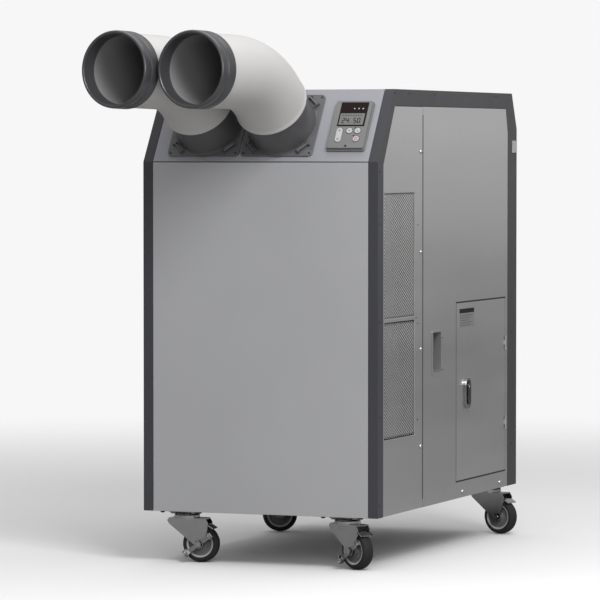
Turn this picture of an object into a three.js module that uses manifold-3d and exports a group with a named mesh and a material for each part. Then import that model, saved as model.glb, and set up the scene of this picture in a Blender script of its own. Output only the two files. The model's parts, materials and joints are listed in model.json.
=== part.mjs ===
// A wheeled twin-nozzle spot cooler and dehumidifier: a tall sheet-metal cabinet with a sloped outlet face,
// two turnable duct elbows, a control unit, side screens, a drain-tank door and four swivel casters.
// Millimetres, +Z up, the front faces -Y. Heights in the cabinet group count from the cabinet's underside.
import * as THREE from "three";
import { mergeVertices } from "three/addons/utils/BufferGeometryUtils.js";
import Module from "manifold-3d";

const wasm = await Module();
wasm.setup();

// ---- driving dimensions ----
const WIDTH = 500; // cabinet, across
const DEPTH = 870; // cabinet, front to back
const HEIGHT = 843; // cabinet, underside to top
const LIFT = 105; // floor to the cabinet's underside: the caster's height
const KNEE = 699; // where the upright front meets the slope
const SLOPE_RUN = 95; // how far back the slope leans
const REAR_KNEE = 767; // where the rear chamfer starts
const CHAMFER_RUN = 34;
const SHEET = 1.5; // sheet-metal thickness
const GAP = 0.5; // between neighbouring pieces

const POST_FACE = 20.5; // side frame, seen from the front
const POST_SIDE = 31; // side frame's front post, seen from the side
const REAR_POST = 61;
const TOP_BAND = 33;
const FRAME_KNEE = 693; // corners of the side frame's opening
const FRAME_TOP_Y = 98;
const FRAME_REAR_Y = 796;
const FRAME_REAR_KNEE = 760;

const SEAM = 264; // between the filter panel and the service panel, from the front
const PANEL_FLANGE = 11; // depth of a panel's folded edge
const SCREEN = { y0: 38, y1: 216, z0: 151, z1: 637, bar: 386, barHeight: 8 };
const GRIP = { y0: 322, y1: 376, z0: 267, z1: 353, depth: 34 };
const DOOR = { y0: 472, y1: 790, z0: 36, z1: 406 };
const DOOR_HINGES = [139, 310]; // knuckle centres
const HINGE_OUT = 2.6; // hinge axis, outside the panel's face
const KNUCKLE_R = 2.1;
const LATCH = { y: 537, z: 216, width: 33, height: 64 };

const DUCT_X = [-123.4, 32.7]; // collar centres, left and right
const DUCT_V = 85; // collar centre, up the slope from the knee
const FLANGE = { width: 154, height: 146, thick: 3 };
const COLLAR_R = 68.5;
const COLLAR_LENGTH = 96;
const ELBOW_START = 77; // the elbow's lower rim, out from the slope
const ELBOW_R = 72;
const DUCT_WALL = 2.6;
const ELBOW_LEAD = 22; // straight, then the bend, then straight
const BEND_R = 285;
const ELBOW_TAIL = 130;
const DUCT_TURN = [-17.7, -16.2]; // degrees: both nozzles stand turned to the left
const RING = { r: 75, width: 46, mouthR: 71, throatR: 66.5 };

const CONTROL = { x: 137, v: 24, width: 80, height: 116, thick: 10 };

const CASTERS = [
  { name: "front_left", x: -178, y: 54, turn: 6, brake: true },
  { name: "front_right", x: 168, y: 50, turn: -28, brake: true },
  { name: "rear_left", x: -206, y: 715, turn: 201, brake: false },
  { name: "rear_right", x: 200, y: 836, turn: -15, brake: false },
];
const WHEEL_R = 37.5;
const TREAD = 25;
const TRAIL = 30;
const AXLE_R = 4;

// ---- finishes ----
const finish = (color, roughness, metalness) =>
  new THREE.MeshStandardMaterial({ color, roughness, metalness });
const light = () => finish(0x97979a, 0.45, 0.3);
const sloped = () => finish(0xb9bac3, 0.45, 0.2);
const dark = () => finish(0x48484b, 0.5, 0.3);
const steel = () => finish(0x8e8f90, 0.35, 0.9);
const zinc = () => finish(0xb4b6b8, 0.3, 0.9);
const duct = () => finish(0xc8c6be, 0.6, 0);
const black = () => finish(0x141416, 0.4, 0);
const keyGrey = () => finish(0xcfd0ce, 0.5, 0);
const rubber = () => finish(0x2c2d2f, 0.85, 0);
const copper = () => finish(0xa9714b, 0.4, 0.9);
const plastic = () => finish(0xd8dad8, 0.5, 0);

// ---- solids ----
/** A closed geometry as a manifold solid, turned right way out. */
function solid(geometry) {
  const bare = geometry.clone();
  bare.deleteAttribute("normal");
  bare.deleteAttribute("uv");
  const merged = mergeVertices(bare, 1e-4);
  const at = merged.attributes.position;
  const corner = [0, 1, 2].map(() => new THREE.Vector3());
  const triVerts = [];
  let volume = 0;
  for (let i = 0; i < merged.index.count; i += 3) {
    const [a, b, c] = [0, 1, 2].map((k) => merged.index.getX(i + k));
    if (a === b || b === c || a === c) continue;
    triVerts.push(a, b, c);
    [a, b, c].forEach((v, k) => corner[k].fromBufferAttribute(at, v));
    volume += corner[0].dot(corner[1].cross(corner[2]));
  }
  if (volume < 0) triVerts.reverse();
  const mesh = new wasm.Mesh({
    numProp: 3,
    vertProperties: new Float32Array(at.array),
    triVerts: new Uint32Array(triVerts),
  });
  return new wasm.Manifold(mesh);
}

const join = (...pieces) => pieces.reduce((all, piece) => all.add(piece));
const cut = (body, ...tools) =>
  tools.reduce((left, tool) => left.subtract(tool), body);

/** A box between two corners. */
function box(x0, x1, y0, y1, z0, z1) {
  const shape = new THREE.BoxGeometry(x1 - x0, y1 - y0, z1 - z0);
  return solid(shape.translate((x0 + x1) / 2, (y0 + y1) / 2, (z0 + z1) / 2));
}

const outline = (points) =>
  new THREE.Shape(points.map(([a, b]) => new THREE.Vector2(a, b)));

/** A rectangle with round corners, as an outline. */
function rounded(x0, x1, y0, y1, r) {
  const shape = new THREE.Shape();
  shape.absarc(x1 - r, y1 - r, r, 0, Math.PI / 2);
  shape.absarc(x0 + r, y1 - r, r, Math.PI / 2, Math.PI);
  shape.absarc(x0 + r, y0 + r, r, Math.PI, Math.PI * 1.5);
  shape.absarc(x1 - r, y0 + r, r, Math.PI * 1.5, Math.PI * 2);
  return shape;
}

/** An outline pushed from z0 to z1. */
function plate(shape, z0, z1, curveSegments = 5) {
  const options = { depth: z1 - z0, bevelEnabled: false, curveSegments };
  return solid(new THREE.ExtrudeGeometry(shape, options).translate(0, 0, z0));
}

// The outline's own axes become Y and Z, and it is pushed along X.
const ONTO_SIDE = new THREE.Matrix4().makeBasis(
  new THREE.Vector3(0, 1, 0),
  new THREE.Vector3(0, 0, 1),
  new THREE.Vector3(1, 0, 0),
);
/** A (Y, Z) outline pushed between two X positions, given in either order. */
function sidePlate(shape, xa, xb, curveSegments = 5) {
  const [x0, x1] = [Math.min(xa, xb), Math.max(xa, xb)];
  const options = { depth: x1 - x0, bevelEnabled: false, curveSegments };
  const geometry = new THREE.ExtrudeGeometry(shape, options);
  return solid(geometry.applyMatrix4(ONTO_SIDE).translate(x0, 0, 0));
}

/** A profile of [radius, height] points turned about Z. */
function turned(profile, segments = 28) {
  const points = profile.map(([r, h]) => new THREE.Vector2(r, h));
  return solid(new THREE.LatheGeometry(points, segments).rotateX(Math.PI / 2));
}

const rod = (r, z0, z1, segments = 20) =>
  turned([[0, z0], [r, z0], [r, z1], [0, z1]], segments);
const upAlongX = (piece) => piece.rotate([0, 90, 0]);
const upAlongY = (piece) => piece.rotate([90, 0, 0]);

/** A convex outline moved inwards by a distance. */
function inset(points, distance) {
  const edges = points.map(([ax, ay], i) => {
    const [bx, by] = points[(i + 1) % points.length];
    const length = Math.hypot(bx - ax, by - ay);
    const [dx, dy] = [(bx - ax) / length, (by - ay) / length];
    return [ax - dy * distance, ay + dx * distance, dx, dy];
  });
  return edges.map(([x2, y2, u2, w2], i) => {
    const [x1, y1, u1, w1] = edges[(i + edges.length - 1) % edges.length];
    const along = ((x2 - x1) * w2 - (y2 - y1) * u2) / (u1 * w2 - w1 * u2);
    return [x1 + u1 * along, y1 + w1 * along];
  });
}

/** A sheet-metal panel with its edges folded in: a counter-clockwise (Y, Z) outline, facing side * X. */
function sidePanel(points, side, face) {
  const skin = sidePlate(outline(points), side * face, side * (face - PANEL_FLANGE));
  const hollow = sidePlate(
    outline(inset(points, SHEET)),
    side * (face - SHEET),
    side * (face - PANEL_FLANGE - 1),
  );
  return cut(skin, hollow);
}

// ---- the scene graph ----
const machine = new THREE.Group();
const cabinet = new THREE.Group();
cabinet.position.z = LIFT;
machine.add(cabinet);

const leanAngle = Math.atan2(SLOPE_RUN, HEIGHT - KNEE); // from upright
const slopeLength = Math.hypot(SLOPE_RUN, HEIGHT - KNEE);
const slope = new THREE.Group(); // X across, Y up the slope, Z out of it
slope.position.z = KNEE;
slope.rotation.x = Math.PI / 2 - leanAngle;
cabinet.add(slope);

/** Adds one named piece to a group. */
function add(group, name, piece, material) {
  const { numProp, vertProperties, triVerts } = piece.getMesh();
  const geometry = new THREE.BufferGeometry();
  const count = vertProperties.length / numProp;
  const positions = new Float32Array(count * 3);
  for (let i = 0; i < count; i++)
    positions.set(vertProperties.subarray(i * numProp, i * numProp + 3), i * 3);
  geometry.setAttribute("position", new THREE.BufferAttribute(positions, 3));
  geometry.setIndex(new THREE.BufferAttribute(triVerts, 1));
  const mesh = new THREE.Mesh(geometry, material);
  mesh.name = name;
  group.add(mesh);
  return mesh;
}

const half = WIDTH / 2;
const inner = half - POST_FACE - GAP; // half width between the side frames
const sides = [["left", -1], ["right", 1]];

// ---- cabinet structure ----
function makeBasePan() {
  const [front, back, height] = [34, DEPTH - 6, 30];
  const pan = cut(
    box(-inner, inner, front, back, 0, height),
    box(-inner + 2, inner - 2, front + 2, back - 2, 2, height + 1),
  );
  add(cabinet, "base_pan", pan, steel());
}

/** An arch of folded channel, open towards the middle of the cabinet and at the floor. */
function makeSideFrame(name, side) {
  const arch = (fold) => [
    [fold, 0],
    [fold, KNEE - fold * 0.3],
    [SLOPE_RUN + fold * 0.5, HEIGHT - fold],
    [DEPTH - CHAMFER_RUN - fold * 0.6, HEIGHT - fold],
    [DEPTH - fold, REAR_KNEE - fold * 0.2],
    [DEPTH - fold, 0],
    [DEPTH - REAR_POST + fold, 0],
    [DEPTH - REAR_POST + fold, FRAME_REAR_KNEE + fold * 0.2],
    [FRAME_REAR_Y + fold * 0.8, HEIGHT - TOP_BAND + fold],
    [FRAME_TOP_Y - fold * 0.6, HEIGHT - TOP_BAND + fold],
    [POST_SIDE - fold, FRAME_KNEE + fold * 0.3],
    [POST_SIDE - fold, 0],
  ];
  const skin = sidePlate(outline(arch(0)), side * half, side * (half - POST_FACE));
  const pocketPoints = arch(SHEET).map(([y, z]) => [y, z === 0 ? -1 : z]);
  const pocket = sidePlate(
    outline(pocketPoints),
    side * (half - SHEET),
    side * (half - POST_FACE - 1),
  );
  add(cabinet, "side_frame_" + name, cut(skin, pocket), dark());
}

function makeFrontPanel() {
  const [z1, deep] = [KNEE - 1, 12];
  const panel = cut(
    box(-inner, inner, 0.3, deep, 0.2, z1),
    box(-inner + SHEET, inner - SHEET, 0.3 + SHEET, deep + 1, 0.2 + SHEET, z1 - SHEET),
  );
  add(cabinet, "front_panel", panel, light());
}

function makeTopPanel() {
  const [y0, y1, deep] = [SLOPE_RUN + 3, DEPTH - CHAMFER_RUN - 2, 10];
  const panel = cut(
    box(-inner, inner, y0, y1, HEIGHT - deep, HEIGHT - 0.3),
    box(-inner + SHEET, inner - SHEET, y0 + SHEET, y1 - SHEET, HEIGHT - deep - 1, HEIGHT - 0.3 - SHEET),
  );
  add(cabinet, "top_panel", panel, light());
}

/** The back: upright sheet with exhaust slots, bent over the chamfer at the top. */
function makeRearPanel() {
  const back = DEPTH - 0.5;
  const bend = outline([
    [back, 0.5],
    [back, REAR_KNEE],
    [back - CHAMFER_RUN + 1, HEIGHT - 1.5],
    [back - CHAMFER_RUN - 0.6, HEIGHT - 2.3],
    [back - SHEET, REAR_KNEE - 0.4],
    [back - SHEET, 0.5],
  ]);
  const slots = [];
  for (let row = 0; row < 15; row++) {
    const z = 410 + row * 21;
    slots.push(box(-150, 150, back - 4, back + 2, z, z + 9));
  }
  const gland = upAlongY(rod(14, -DEPTH - 5, -DEPTH + 8)).translate([-170, 0, 90]);
  add(cabinet, "rear_panel", cut(sidePlate(bend, -inner, inner), ...slots, gland), steel());
  const nut = turned([[6, -6], [13.5, -6], [13.5, 0.2], [19, 0.2], [19, 4], [12, 9], [6, 9], [6, -6]], 12);
  const rear = upAlongY(nut).translate([-170, -DEPTH, 90]).mirror([0, 1, 0]);
  add(cabinet, "cord_gland", rear, black());
}

const panelTop = HEIGHT - TOP_BAND - GAP;
function makeFilterPanel(name, side) {
  const points = [
    [POST_SIDE + GAP, 0.3],
    [SEAM - GAP / 2, 0.3],
    [SEAM - GAP / 2, panelTop],
    [FRAME_TOP_Y + GAP, panelTop],
    [POST_SIDE + GAP, FRAME_KNEE - GAP],
  ];
  const face = half - 0.5;
  const { y0, y1, z0, z1, bar, barHeight } = SCREEN;
  const windows = [[z0, bar - barHeight / 2], [bar + barHeight / 2, z1]];
  const openings = windows.map(([low, high]) =>
    sidePlate(outline([[y0, low], [y1, low], [y1, high], [y0, high]]), side * (face + 1), side * (face - 3)),
  );
  add(cabinet, "filter_panel_" + name, cut(sidePanel(points, side, face), ...openings), steel());
  windows.forEach(([low, high], i) => {
    const out = face - SHEET - GAP;
    const sheet = sidePlate(
      outline([[y0 - 4, low - 3], [y1 + 6, low - 3], [y1 + 6, high + 3], [y0 - 4, high + 3]]),
      side * out,
      side * (out - 1.2),
    );
    add(cabinet, "screen_" + name + (i ? "_upper" : "_lower"), sheet, steel());
  });
}

/** One hinge's knuckle about the hinge axis, with a web down to the face it stands on. */
function knuckle(z0, z1, forward) {
  const axisX = half - 0.5 + HINGE_OUT;
  const barrel = rod(KNUCKLE_R, z0, z1, 12).translate([axisX, DOOR.y1, 0]);
  const [near, far] = forward ? [-1.9, -0.7] : [0.7, 1.9];
  return join(barrel, box(half - 1, axisX, DOOR.y1 + near, DOOR.y1 + far, z0, z1));
}

function makeServicePanel(name, side) {
  const points = [
    [SEAM + GAP / 2, 0.3],
    [DEPTH - REAR_POST - GAP, 0.3],
    [DEPTH - REAR_POST - GAP, FRAME_REAR_KNEE],
    [FRAME_REAR_Y - GAP, panelTop],
    [SEAM + GAP / 2, panelTop],
  ];
  const face = half - 0.5;
  const hole = (spec) =>
    sidePlate(
      outline([[spec.y0, spec.z0], [spec.y1, spec.z0], [spec.y1, spec.z1], [spec.y0, spec.z1]]),
      side * (face + 1),
      side * (face - 3),
    );
  let panel = cut(sidePanel(points, side, face), hole(GRIP));
  if (side > 0) {
    panel = cut(panel, hole(DOOR));
    for (const z of DOOR_HINGES)
      panel = join(panel, knuckle(z - 14, z - 5, false), knuckle(z + 5, z + 14, false));
  }
  add(cabinet, "service_panel_" + name, panel, steel());

  const { y0, y1, z0, z1, depth } = GRIP;
  const wall = 1.4;
  const frame = (grow, near, far) =>
    sidePlate(rounded(y0 - grow, y1 + grow, z0 - grow, z1 + grow, 4), side * near, side * far, 3);
  const cup = cut(
    join(frame(-GAP, face + 0.5, face - depth), frame(3, face + 0.3, face + 1.3)),
    frame(-GAP - wall, face + 3, face - depth + wall),
  );
  add(cabinet, "grip_cup_" + name, cup, steel());
}

// ---- outlet face, ducts and control unit ----
function makeOutletPanel() {
  const sheet = box(-inner, inner, 1.5, slopeLength - 1, -SHEET - 0.3, -0.3);
  const holes = DUCT_X.map((x) => rod(COLLAR_R - 1, -4, 2, 28).translate([x, DUCT_V, 0]));
  const { x, v, width, height } = CONTROL;
  const window = box(x + 6, x + width - 6, v + 6, v + height - 6, -4, 2);
  add(slope, "outlet_panel", cut(sheet, ...holes, window), sloped());
}

/** The duct's centre line: straight, a bend towards -Y, and straight again. */
class DuctPath extends THREE.Curve {
  getPoint(t, target = new THREE.Vector3()) {
    const bend = leanAngle * BEND_R;
    const turnOf = (s) => Math.min(Math.max(s - ELBOW_LEAD, 0) / BEND_R, leanAngle);
    const s = t * (ELBOW_LEAD + bend + ELBOW_TAIL);
    const angle = turnOf(s);
    const lead = Math.min(s, ELBOW_LEAD);
    const tail = Math.max(s - ELBOW_LEAD - bend, 0);
    return target.set(
      0,
      -BEND_R * (1 - Math.cos(angle)) - tail * Math.sin(angle),
      lead + BEND_R * Math.sin(angle) + tail * Math.cos(angle),
    );
  }
}

function makeDuct(name, x, turn) {
  const { width, height, thick } = FLANGE;
  const corner = 8;
  const flat = plate(rounded(-width / 2, width / 2, -height / 2, height / 2, corner), 0, thick, 3);
  const bore = COLLAR_R - DUCT_WALL;
  const collar = cut(join(flat, rod(COLLAR_R, 0, COLLAR_LENGTH, 28)), rod(bore, -1, COLLAR_LENGTH + 1, 28));
  add(slope, "duct_collar_" + name, collar.translate([x, DUCT_V, 0]), dark());

  const swivel = new THREE.Group();
  swivel.position.set(x, DUCT_V, ELBOW_START);
  swivel.rotation.z = THREE.MathUtils.degToRad(turn);
  slope.add(swivel);
  const section = new THREE.Shape().absarc(0, 0, ELBOW_R, 0, Math.PI * 2);
  section.holes.push(new THREE.Path().absarc(0, 0, ELBOW_R - DUCT_WALL, 0, Math.PI * 2));
  const path = new DuctPath();
  const options = { steps: 8, curveSegments: 12, extrudePath: path };
  add(swivel, "duct_elbow_" + name, solid(new THREE.ExtrudeGeometry(section, options)), duct());

  const { r, width: ringWidth, mouthR, throatR } = RING;
  const over = 24; // how far the ring reaches back over the duct
  const front = ringWidth - over;
  const profile = [
    [ELBOW_R + 1, -over],
    [r - 0.4, -over],
    [r, -over + 2],
    [r, front - 3],
    [r - 1.5, front],
    [mouthR, front],
    [throatR, 0.6],
    [ELBOW_R + 1, 0.6],
    [ELBOW_R + 1, -over],
  ];
  const ring = add(swivel, "outlet_ring_" + name, turned(profile, 28), dark());
  ring.position.copy(path.getPoint(1));
  ring.rotation.x = leanAngle;
}

function makeControlUnit() {
  const { x, v, width, height, thick } = CONTROL;
  const panel = new THREE.Group(); // its own corner: X across, Y up the slope, Z out
  panel.position.set(x, v, 0);
  slope.add(panel);
  const base = plate(rounded(0, width, 0, height, 5), 0, 4, 3);
  const face = plate(rounded(2, width - 2, 3, height - 2, 4), 4, thick, 3);
  const wellDepth = thick - 3.5;
  const keys = [
    { name: "mode_key", at: [42.6, 42.9], r: 6.2 },
    { name: "timer_key", at: [59.6, 42.9], r: 6.2 },
    { name: "power_key", at: [59.6, 24], r: 6.4 },
  ];
  const windowAt = [13.5, 70.5, 54, 110];
  const rocker = { x: 22, y: 33, width: 12.5, height: 33 };
  const pill = (grow) =>
    rounded(
      rocker.x - rocker.width / 2 - grow,
      rocker.x + rocker.width / 2 + grow,
      rocker.y - rocker.height / 2 - grow,
      rocker.y + rocker.height / 2 + grow,
      rocker.width / 2 + grow,
    );
  const wells = keys.map(({ at, r }) => rod(r + 0.5, wellDepth, thick + 1, 20).translate([...at, 0]));
  const [wx0, wx1, wy0, wy1] = windowAt;
  const housing = cut(
    join(base, face),
    ...wells,
    plate(pill(0.6), wellDepth, thick + 1, 4),
    box(wx0 - 0.3, wx1 + 0.3, wy0 - 0.3, wy1 + 0.3, thick - 1.6, thick + 1),
  );
  add(panel, "control_housing", housing, keyGrey());
  add(panel, "display_window", box(wx0, wx1, wy0, wy1, thick - 1.3, thick + 0.2), black());
  const rockerKey = plate(pill(0), wellDepth + 1.6, thick + 1.2, 4);
  add(panel, "rocker_key", rockerKey, keyGrey());
  for (const { name, at, r } of keys)
    add(panel, name, rod(r, wellDepth + 1.7, thick + 1.2, 20).translate([...at, 0]), keyGrey());
}

// ---- access door ----
function makeDoor() {
  const face = half - 0.5;
  const slack = 0.7;
  const points = [
    [DOOR.y0 + slack, DOOR.z0 + slack],
    [DOOR.y1 - slack, DOOR.z0 + slack],
    [DOOR.y1 - slack, DOOR.z1 - slack],
    [DOOR.y0 + slack, DOOR.z1 - slack],
  ];
  let leaf = sidePanel(points, 1, face);
  for (const z of DOOR_HINGES) leaf = join(leaf, knuckle(z - 4.4, z + 4.4, true));
  add(cabinet, "access_door", leaf, steel());

  const { y, z } = LATCH;
  const [wide, high] = [LATCH.width / 2, LATCH.height / 2];
  const pill = (grow, low = 0) =>
    rounded(y - wide - grow, y + wide + grow, z - high - grow + low, z + high + grow, wide + grow - 2);
  const plateOut = face + 0.4;
  const body = cut(
    sidePlate(pill(0), plateOut, plateOut + 5, 4),
    sidePlate(pill(-5), plateOut + 1, plateOut + 7, 4),
  );
  add(cabinet, "latch_case", body, zinc());
  const lever = sidePlate(rounded(y - 9, y + 9, z - 22, z + 22, 8), plateOut + 2.4, plateOut + 7.4, 3);
  add(cabinet, "latch_lever", lever, zinc());
}

// ---- inside ----
/** A finned heat exchanger: upright plates, every tenth or so of the real ones, threaded on header bars. */
function finnedCoil(xHalf, y0, y1, z0, z1) {
  const [plates, bars, barHalf] = [10, 3, 5];
  const pieces = [];
  for (let i = 0; i < plates; i++) {
    const x = -xHalf + (i * 2 * xHalf) / (plates - 1);
    pieces.push(box(x - 1, x + 1, y0, y1, z0, z1));
  }
  const middle = (y0 + y1) / 2;
  for (let i = 0; i < bars; i++) {
    const z = z0 + ((i + 0.5) * (z1 - z0)) / bars;
    pieces.push(box(-xHalf - 6, xHalf + 6, middle - barHalf, middle + barHalf, z - barHalf, z + barHalf));
  }
  return join(...pieces);
}

const BLOWER = { x: -45, y: 240, z: 690, r: 113, halfWidth: 146, wheelR: 84, wheelHalf: 118 };
const FAN = { x: 0, y: 812, z: 560, r: 150 };

function makeInside() {
  add(cabinet, "evaporator_coil", finnedCoil(190, 282, 326, 32, 540), copper());
  add(cabinet, "condenser_coil", finnedCoil(190, 700, 744, 410, 740), copper());

  const shape = [
    [0, 218],
    [40, 216],
    [62, 198],
    [66, 180],
    [66, 30],
    [80, 30],
    [80, 22],
    [56, 22],
    [56, 180],
    [0, 206],
    [0, 218],
  ];
  const shell = turned(shape, 24);
  const feet = [0, 120, 240].map((angle) => rod(9, 2.4, 23, 12).translate([72, 0, 0]).rotate([0, 0, angle]));
  add(cabinet, "compressor", join(shell, ...feet).translate([-110, 560, 0]), black());

  const bx = cut(box(-196, -66, 400, 452, 40, 330), box(-194, -68, 402, 453, 42, 328));
  add(cabinet, "electrical_box", bx, zinc());

  const tank = cut(box(64, 214, 486, 776, 33, 300), box(67, 211, 489, 773, 36, 301));
  add(cabinet, "drain_tank", tank, plastic());
}

/** The scroll: a round drum that opens upwards and forwards onto the back of the outlet face. */
function makeBlower() {
  const { x, y, z, r, halfWidth, wheelR, wheelHalf } = BLOWER;
  const out = [-Math.cos(leanAngle), Math.sin(leanAngle)];
  const up = [Math.sin(leanAngle), Math.cos(leanAngle)];
  const behindSlope = (v, n) => [up[0] * v + out[0] * n, KNEE + up[1] * v + out[1] * n];
  const scroll = (grow) => {
    const mouthDepth = grow < 0 ? 1 : -4;
    const points = [behindSlope(14 - grow, mouthDepth), behindSlope(158 + grow, mouthDepth)];
    const steps = 12;
    for (let i = 0; i <= steps; i++) {
      const a = THREE.MathUtils.degToRad(75 - (i * 225) / steps);
      points.push([y + (r + grow) * Math.cos(a), z + (r + grow) * Math.sin(a)]);
    }
    return outline(points);
  };
  const drum = cut(
    sidePlate(scroll(0), x - halfWidth, x + halfWidth),
    sidePlate(scroll(-2), x - halfWidth + 2, x + halfWidth - 2),
    upAlongX(rod(62, -halfWidth - 5, halfWidth + 5, 24)).translate([x, y, z]),
  );
  add(cabinet, "blower_housing", drum, zinc());

  const bar = upAlongX(rod(6, -halfWidth - 8, halfWidth + 8, 12));
  const disc = upAlongX(rod(wheelR, -3, 3, 24));
  const blades = [];
  const count = 8;
  for (let i = 0; i < count; i++) {
    const blade = box(-wheelHalf, wheelHalf, -1.5, 1.5, wheelR - 44, wheelR - 1);
    blades.push(blade.rotate([(i * 360) / count, 0, 0]));
  }
  add(cabinet, "blower_wheel", join(bar, disc, ...blades).translate([x, y, z]), zinc());
}

function makeFan() {
  const { x, y, z, r } = FAN;
  const hub = upAlongY(rod(34, -12, 12, 20));
  const blades = [];
  const count = 5;
  for (let i = 0; i < count; i++) {
    const blade = box(-34, 34, -1.5, 1.5, 28, r).rotate([0, 0, 24]);
    blades.push(blade.rotate([0, (i * 360) / count, 0]));
  }
  const shaftHole = upAlongY(rod(5.5, -14, 14, 16));
  const fan = cut(join(hub, ...blades), shaftHole).translate([x, y, z]);
  add(cabinet, "condenser_fan", fan, zinc());

  const can = upAlongY(rod(38, -19, 19, 24)).translate([x, y - 36, z]);
  const shaft = upAlongY(rod(5, -26, 26, 12)).translate([x, y - 8, z]);
  const arms = [-1, 1].map((s) => box(x - 210, x + 210, y - 50, y - 46, z + s * 26 - 6, z + s * 26 + 6));
  add(cabinet, "fan_motor", join(can, shaft, ...arms), black());
}

// ---- casters ----
function makeCaster({ name, x, y, turn, brake }) {
  const caster = new THREE.Group();
  caster.position.set(x, y, 0);
  caster.rotation.z = THREE.MathUtils.degToRad(turn);
  const plateHalf = 30;
  const top = LIFT - 0.3;
  const fixed = join(
    plate(rounded(-plateHalf, plateHalf, -plateHalf, plateHalf, 6), top - 3, top, 3),
    rod(23, 95.2, top - 2.9, 16),
    rod(5, 82, 96, 8),
    rod(9, 81, 85.4, 6),
  );
  const mount = new THREE.Group();
  mount.position.set(x, y, 0);
  machine.add(mount, caster);
  add(mount, "caster_plate_" + name, fixed, zinc());

  const [legIn, legOut, axleZ] = [14.6, 17.2, WHEEL_R];
  const legShape = () => {
    const boss = 9;
    const shape = new THREE.Shape();
    shape.moveTo(-34, 88);
    shape.lineTo(-37, 84);
    shape.lineTo(-33, 77);
    shape.lineTo(TRAIL - boss * 0.9, axleZ - boss * 0.44);
    shape.absarc(TRAIL, axleZ, boss, Math.PI * 1.14, Math.PI * 2.06);
    shape.lineTo(47, 66);
    shape.lineTo(48, 80);
    shape.lineTo(43, 88);
    return shape;
  };
  // A (X, Z) outline pushed along Y.
  const leg = (y0, y1) => upAlongY(plate(legShape(), -y1, -y0, 4));
  const crown = box(-34, 43, -legOut, legOut, 86.4, 89);
  const dish = cut(join(rod(26, 88.5, 94.6, 16), crown), rod(5.8, 80, 100, 8));
  const axle = upAlongY(rod(AXLE_R, -legOut - 1, legOut + 6.5, 12)).translate([TRAIL, 0, axleZ]);
  const nut = upAlongY(rod(6.5, -legOut - 4, -legOut + 0.5, 6)).translate([TRAIL, 0, axleZ]);
  const cap = upAlongY(rod(6.5, legOut + 5, legOut + 9, 6)).translate([TRAIL, 0, axleZ]);
  // A guard over the rear of the tyre, between the legs.
  const guard = box(-8, 8, -legIn - 1, legIn + 1, 40, 42.2)
    .rotate([0, 32, 0])
    .translate([TRAIL, 0, axleZ]);
  const fork = join(dish, leg(legIn, legOut), leg(-legOut, -legIn), axle, nut, cap, guard);
  add(caster, "caster_fork_" + name, fork, zinc());

  const hub = turned(
    [
      [AXLE_R + 0.4, -13.5],
      [9, -13.5],
      [21, -6],
      [25.6, -11],
      [25.6, 11],
      [21, 6],
      [9, 13.5],
      [AXLE_R + 0.4, 13.5],
      [AXLE_R + 0.4, -13.5],
    ],
    16,
  );
  add(caster, "caster_hub_" + name, upAlongY(hub).translate([TRAIL, 0, axleZ]), keyGrey());
  const t = TREAD / 2;
  const tyre = turned(
    [[26.5, -t], [34, -t], [WHEEL_R, -6], [WHEEL_R, 6], [34, t], [26.5, t], [26.5, -t]],
    28,
  );
  add(caster, "caster_tyre_" + name, upAlongY(tyre).translate([TRAIL, 0, axleZ]), rubber());

  if (!brake) return;
  const pedal = new THREE.Group();
  pedal.position.set(TRAIL, 0, axleZ);
  pedal.rotation.y = THREE.MathUtils.degToRad(-36);
  caster.add(pedal);
  const [near, far] = [legOut + 0.8, legOut + 4.2];
  const bar = join(
    box(-30, 28, -far, -near, -4.5, 4.5),
    box(-36, -27, -far - 7, -near, -7, 7),
    box(25, 34, -far - 5, -near, -6, 6),
    upAlongY(rod(9, near, far, 16)),
  );
  add(pedal, "brake_pedal_" + name, cut(bar, upAlongY(rod(7.2, near - 1, far + 8, 16))), zinc());
}

makeBasePan();
for (const [name, side] of sides) {
  makeSideFrame(name, side);
  makeFilterPanel(name, side);
  makeServicePanel(name, side);
}
makeFrontPanel();
makeTopPanel();
makeRearPanel();
makeOutletPanel();
sides.forEach(([name], i) => makeDuct(name, DUCT_X[i], DUCT_TURN[i]));
makeControlUnit();
makeDoor();
makeInside();
makeBlower();
makeFan();
CASTERS.forEach(makeCaster);

// The origin is the middle of the bounding box's floor.
machine.updateMatrixWorld(true);
const bounds = new THREE.Box3().setFromObject(machine, true);
const middle = bounds.getCenter(new THREE.Vector3());
machine.position.set(-middle.x, -middle.y, -bounds.min.z);

export default machine;
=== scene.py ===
"""The looks of a wheeled twin-nozzle spot cooler and dehumidifier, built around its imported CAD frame.

Metres, +Z up, the front faces -Y. Sheet-metal pieces get bevelled edges, the ducts, wheels and screens are
remade at full detail, and every finish is a procedural material.
"""

import json
import math

import bmesh
import bpy
from mathutils import Matrix, Vector


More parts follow.
